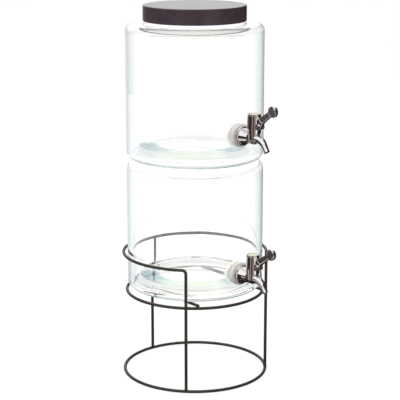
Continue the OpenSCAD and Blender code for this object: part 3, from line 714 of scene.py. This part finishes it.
root = (41.5, 24.1)
knob = (61.62, 37.85)
fork_tip = (27.415, 13.136)
fork_root = (pin_out - 2.4, pin_up - 0.6)
prong_x = 2.35
prong_r = 0.62
tip_r = 1.75
tip_half = 0.55
knob_profile = fillet([
    (0, -2.35, 0), (5.0, -2.35, 1.0), (5.4, -2.5, 0.6), (7.2, -2.5, 1.1), (7.2, 2.5, 1.1), (5.4, 2.5, 0.6),
    (5.0, 2.35, 1.0), (0, 2.35, 0)], 8)
line, share = lever_line((pin_out, pin_up), root, knob, 5.0)
halves = np.interp(share, [0, 1, 2], [3.2, 4.5, 3.5])
thick = np.interp(share, [0, 0.95, 1.15, 2], [3.0, 3.0, 2.1, 2.1])
arm = bar_grid(*rounded_ends(line, halves, thick), 0.45)
lever_grids = [arm, turned(knob_profile, (0, *knob), (1, 0, 0))]
for x in (-prong_x, prong_x):
    lever_grids.append(rod((x, *fork_root), (x, *fork_tip), (1, 0, 0), prong_r, 0.3))
for x in (-prong_x, prong_x):
    lever_grids.append(rod((x - tip_half, *fork_tip), (x + tip_half, *fork_tip), (0, 1, 0), tip_r, 0.3))
for level in jar_sizes:
    make_piece(level + "_tap_lever_look", [on_tap(grid, level) for grid in lever_grids], plate_metal,
               level + "_lever", level + "_tap_lever", 40)


# Valve stems, plugs and return springs.
# They work inside the barrel: a nylon stem with two collars that the lever's fork lifts, a silicone plug that
# shuts the chamber, and a steel coil that pushes the stem down. The CAD solids stay, with their own finishes.
for level in jar_sizes:
    for part, finish in (("_valve_stem", nylon), ("_valve_plug", silicone), ("_return_spring", drawn_steel)):
        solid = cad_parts[level + part]
        solid.data.materials.clear()
        solid.data.materials.append(finish)


# Lid.
# A spun steel cap in dark satin paint, with a white moulded cup under it that stands in the upper jar's neck
# and a silicone seal between them and the rim. Cup and seal are the CAD solids with their own finishes.

# Satin paint: a dark plum-brown film, smoother on the flat top than on the upright side, clouded in patches
# of about 8 mm. Its grain of 0.25 mm is drawn at 0.5 mm so that it shows.
satin_paint, tree, shader, place = start_material("satin_painted_steel", {"IOR": 1.6})
normal = add_node(tree, "ShaderNodeNewGeometry").outputs["Normal"]
facing = add_node(tree, "ShaderNodeSeparateXYZ", {"Vector": normal})
sheen = add_node(tree, "ShaderNodeMapRange", {"Value": facing.outputs["Z"], "From Min": 0.2, "From Max": 0.9,
                                              "To Min": 0.42, "To Max": 0.15})
tree.links.new(sheen.outputs["Result"], shader.inputs["Roughness"])
film = add_node(tree, "ShaderNodeTexNoise", {"Vector": place, "Scale": 120, "Detail": 3})
shade = add_node(tree, "ShaderNodeValToRGB", {"Fac": film.outputs["Fac"]},
                 [(0.3, linear("#43363e")), (0.7, linear("#4c3f47"))])
tree.links.new(shade.outputs["Color"], shader.inputs["Base Color"])
grain = add_node(tree, "ShaderNodeTexNoise", {"Vector": place, "Scale": 2000, "Detail": 2})
bump = add_node(tree, "ShaderNodeBump",
                {"Height": grain.outputs["Fac"], "Strength": 0.04, "Distance": 0.0002})
tree.links.new(bump.outputs["Normal"], shader.inputs["Normal"])

lid_r = 67
lid_inside_r = 65.8
lid_top = 493.35
lid_inside_top = 492.15
lid_edge = 473.15
lid_profile = fillet([
    (0, lid_top, 0), (lid_r, lid_top, 1.6), (lid_r, lid_edge, 0.5), (lid_inside_r, lid_edge, 0.5),
    (lid_inside_r, lid_inside_top, 0.8), (0, lid_inside_top, 0)], 9)
lid_cap = make_piece("lid_cap_look", [turned(lid_profile, (0, 0, 0), (0, 0, 1), 160)], satin_paint, "lid",
                     "lid_cap", 40)
lid_cap.visible_glossy = False
for node_name, finish in (("lid_plug", nylon), ("lid_seal", silicone)):
    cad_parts[node_name].data.materials.clear()
    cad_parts[node_name].data.materials.append(finish)


# Studio.
# A plain pale table and a white sweep, as the camera and glass see them. Polished metal sees a painted room
# round it: light on the left, dark in front and on the right, with strips of light that it shows as upright
# bands, painted on the world and as a painted reflection on the table. The lamps, the jars and the lid's cap
# are kept out of mirrors, so that their images don't cover that room.
def seen_plainly(tree, rays):
    """1 on rays that come from the camera itself or through glass, and 0 on mirrored and scattered ones."""
    through = add_node(tree, "ShaderNodeMath", {0: rays.outputs["Transmission Depth"], 1: 0.5},
                       operation="GREATER_THAN")
    plain = add_node(tree, "ShaderNodeMath",
                     {0: rays.outputs["Is Camera Ray"], 1: rays.outputs["Is Transmission Ray"]},
                     operation="MAXIMUM")
    plain = add_node(tree, "ShaderNodeMath", {0: plain.outputs[0], 1: through.outputs[0]},
                     operation="MAXIMUM")
    return plain.outputs[0]


# World: white to the camera, an even grey light on the object, and the room's walls in mirrors. The stops
# give how high the dark wall stands on each side, as the upward part of the direction to its top.
wall_stops = (
    (0.0, 0), (0.04, 0), (0.07, 0.13), (0.12, 0.13), (0.15, 0.6), (0.23, 0.6), (0.26, 0.13), (0.42, 0.13),
    (0.46, 0.3), (0.50, 0.5), (0.56, 0.62), (0.62, 0.7), (0.66, 0.8), (0.70, 0.9), (0.80, 0.85), (0.88, 0.7),
    (0.93, 0.5), (0.965, 0.3), (0.985, 0), (1.0, 0))
world = bpy.data.worlds.new("studio")
bpy.context.scene.world = world
world.use_nodes = True
tree = world.node_tree
tree.nodes.clear()
rays = add_node(tree, "ShaderNodeLightPath")
way = add_node(tree, "ShaderNodeTexCoord").outputs["Generated"]
upward = add_node(tree, "ShaderNodeSeparateXYZ", {"Vector": way})
wall_top = add_node(tree, "ShaderNodeValToRGB", {"Fac": turn_share(tree, way)},
                    [(share, (top, top, top, 1)) for share, top in wall_stops])
over = add_node(tree, "ShaderNodeMath", {0: upward.outputs["Z"], 1: wall_top.outputs["Color"]},
                operation="SUBTRACT")
over = add_node(tree, "ShaderNodeMapRange", {"Value": over.outputs[0], "From Min": 0.0, "From Max": 0.06})
room = add_node(tree, "ShaderNodeMixRGB", {"Fac": over.outputs["Result"], "Color1": linear("#3a3033"),
                                           "Color2": linear("#fcfdff")})
light = add_node(tree, "ShaderNodeMixRGB",
                 {"Fac": rays.outputs["Is Glossy Ray"], "Color1": (0.64, 0.64, 0.65, 1),
                  "Color2": room.outputs["Color"]})
light = add_node(tree, "ShaderNodeMixRGB", {"Fac": seen_plainly(tree, rays), "Color1": light.outputs["Color"],
                                            "Color2": (1, 1, 1, 1)})
sky = add_node(tree, "ShaderNodeBackground", {"Color": light.outputs["Color"], "Strength": 1.0})
add_node(tree, "ShaderNodeOutputWorld", {"Surface": sky.outputs["Background"]})

# Table: matt and pale, lifted to near white for the camera and glass, with the object's shadow kept. In
# mirrors it glows with a painted reflection of the room's floor: bands by side, pale far on the left and
# behind, a pale card of painted light near the left front and a dark middle, painted shade under the object.
table_top, tree, shader, place = start_material(
    "pale_table", {"Roughness": 0.9, "Base Color": linear("#8e8e8c"), "Emission Color": (1, 1, 1, 1)})
rays = add_node(tree, "ShaderNodeLightPath")
share = turn_share(tree, place)
white, pearl, tan = linear("#ffffff"), linear("#b5aba4"), linear("#8f8178")
dim, brown, dark = linear("#574f52"), linear("#4a3c38"), linear("#2b2425")
bands = add_node(tree, "ShaderNodeValToRGB", {"Fac": share},
                 [(0.0, dim), (0.24, dim), (0.28, dark), (0.385, dark), (0.40, pearl), (0.412, pearl),
                  (0.425, brown), (0.485, brown), (0.50, tan), (0.565, tan), (0.58, white), (0.625, white),
                  (0.645, brown), (0.72, dark), (1.0, dark)])
reach = add_node(tree, "ShaderNodeVectorMath", {0: place}, operation="LENGTH").outputs["Value"]
wall = add_node(tree, "ShaderNodeMath", {0: reach, 1: 1.5, 2: 0.9}, operation="COMPARE")
left = add_node(tree, "ShaderNodeMapRange", {"Value": share, "From Min": 0.20, "From Max": 0.21,
                                             "To Min": 1.0, "To Max": 0.0})
wall = add_node(tree, "ShaderNodeMath", {0: wall.outputs[0], 1: left.outputs["Result"]}, operation="MULTIPLY")
# Painted light: the pale card near the left front, seen only in mirrors.
painted_light_card = add_node(tree, "ShaderNodeMath", {0: reach, 1: 0.47, 2: 0.25}, operation="COMPARE")
card_side = add_node(tree, "ShaderNodeMath", {0: share, 1: 0.310, 2: 0.025}, operation="COMPARE")
painted_light_card = add_node(tree, "ShaderNodeMath", {0: painted_light_card.outputs[0], 1: card_side.outputs[0]}, operation="MULTIPLY")
behind = add_node(tree, "ShaderNodeMapRange", {"Value": share, "From Min": 0.085, "From Max": 0.10,
                                               "To Min": 1.0, "To Max": 0.0})
pale = add_node(tree, "ShaderNodeMath", {0: wall.outputs[0], 1: painted_light_card.outputs[0]}, operation="MAXIMUM")
pale = add_node(tree, "ShaderNodeMath", {0: pale.outputs[0], 1: behind.outputs["Result"]},
                operation="MAXIMUM")
bands = add_node(tree, "ShaderNodeMixRGB", {"Fac": pale.outputs[0], "Color1": bands.outputs["Color"],
                                            "Color2": linear("#d9d6d8")})
# Painted shade: the dark middle under the object, seen only in mirrors.
middle = add_node(tree, "ShaderNodeMath", {0: reach, 1: 0.22}, operation="LESS_THAN")
bands = add_node(tree, "ShaderNodeMixRGB", {"Fac": middle.outputs[0], "Color1": bands.outputs["Color"],
                                            "Color2": dark})
plain = seen_plainly(tree, rays)
power = add_node(tree, "ShaderNodeMath", {0: plain, 1: 0.80}, operation="MULTIPLY")
tree.links.new(power.outputs[0], shader.inputs["Emission Strength"])
# Mirrored rays see the painted reflection, an emission picture of the room's floor.
mirrored = add_node(tree, "ShaderNodeMath", {0: rays.outputs["Is Glossy Ray"], 1: plain},
                    operation="SUBTRACT", use_clamp=True)
painted_reflection = add_node(tree, "ShaderNodeEmission", {"Color": bands.outputs["Color"], "Strength": 1.0})
surface = add_node(tree, "ShaderNodeMixShader",
                   {"Fac": mirrored.outputs[0], 1: shader.outputs["BSDF"], 2: painted_reflection.outputs["Emission"]})
output = next(node for node in tree.nodes if node.bl_idname == "ShaderNodeOutputMaterial")
tree.links.new(surface.outputs["Shader"], output.inputs["Surface"])

table_half = 12
lines = 25
span = np.linspace(-table_half, table_half, lines)
level_points = np.stack([*np.meshgrid(span, span, indexing="ij"), np.zeros((lines, lines))], -1)
table_points = level_points.reshape(-1, 3)
cells = np.arange(lines ** 2).reshape(lines, lines)
squares = np.stack([cells[:-1, :-1], cells[1:, :-1], cells[1:, 1:], cells[:-1, 1:]], -1).reshape(-1, 4)
table_mesh = bpy.data.meshes.new("table_top")
table_mesh.from_pydata(table_points.tolist(), [], squares.tolist())
table_mesh.materials.append(table_top)
table = bpy.data.objects.new("table_top", table_mesh)
bpy.context.scene.collection.objects.link(table)

# Three soft square lamps: each with its place, the point it is aimed at, its size and its power in watts.
for name, spot, aim, size, watts in (
        ("left_lamp", (-1.5, -0.5, 1.3), (0, 0, 0.25), 0.9, 9.0),
        ("right_lamp", (1.2, -1.2, 1.0), (0, 0, 0.25), 0.7, 5.0),
        ("rear_lamp", (0.6, 1.5, 1.4), (0, 0, 0.3), 1.0, 6.0)):
    lamp_data = bpy.data.lights.new(name, "AREA")
    lamp_data.size = size
    lamp_data.energy = watts
    lamp = bpy.data.objects.new(name, lamp_data)
    bpy.context.scene.collection.objects.link(lamp)
    lamp.visible_glossy = False
    heading = np.array(aim) - np.array(spot)
    away = math.hypot(heading[0], heading[1])
    lamp.location = spot
    lamp.rotation_euler = (math.atan2(away, -heading[2]), 0, math.atan2(-heading[0], heading[1]))

# Camera at the photograph's side: 13.62 degrees down, 39.2217 degrees to the right of straight ahead.
lens = bpy.data.cameras.new("camera")
lens.lens = 122.0
lens.sensor_width = 36.0
lens.clip_start = 0.05
lens.clip_end = 100.0
camera = bpy.data.objects.new("camera", lens)
bpy.context.scene.collection.objects.link(camera)
camera.location = (-1.10068, -1.35923, 0.659)
camera.rotation_euler = (math.radians(90 - 13.62), 0, math.radians(-39.2217))
bpy.context.scene.camera = camera
bpy.context.scene.view_settings.view_transform = "Standard"
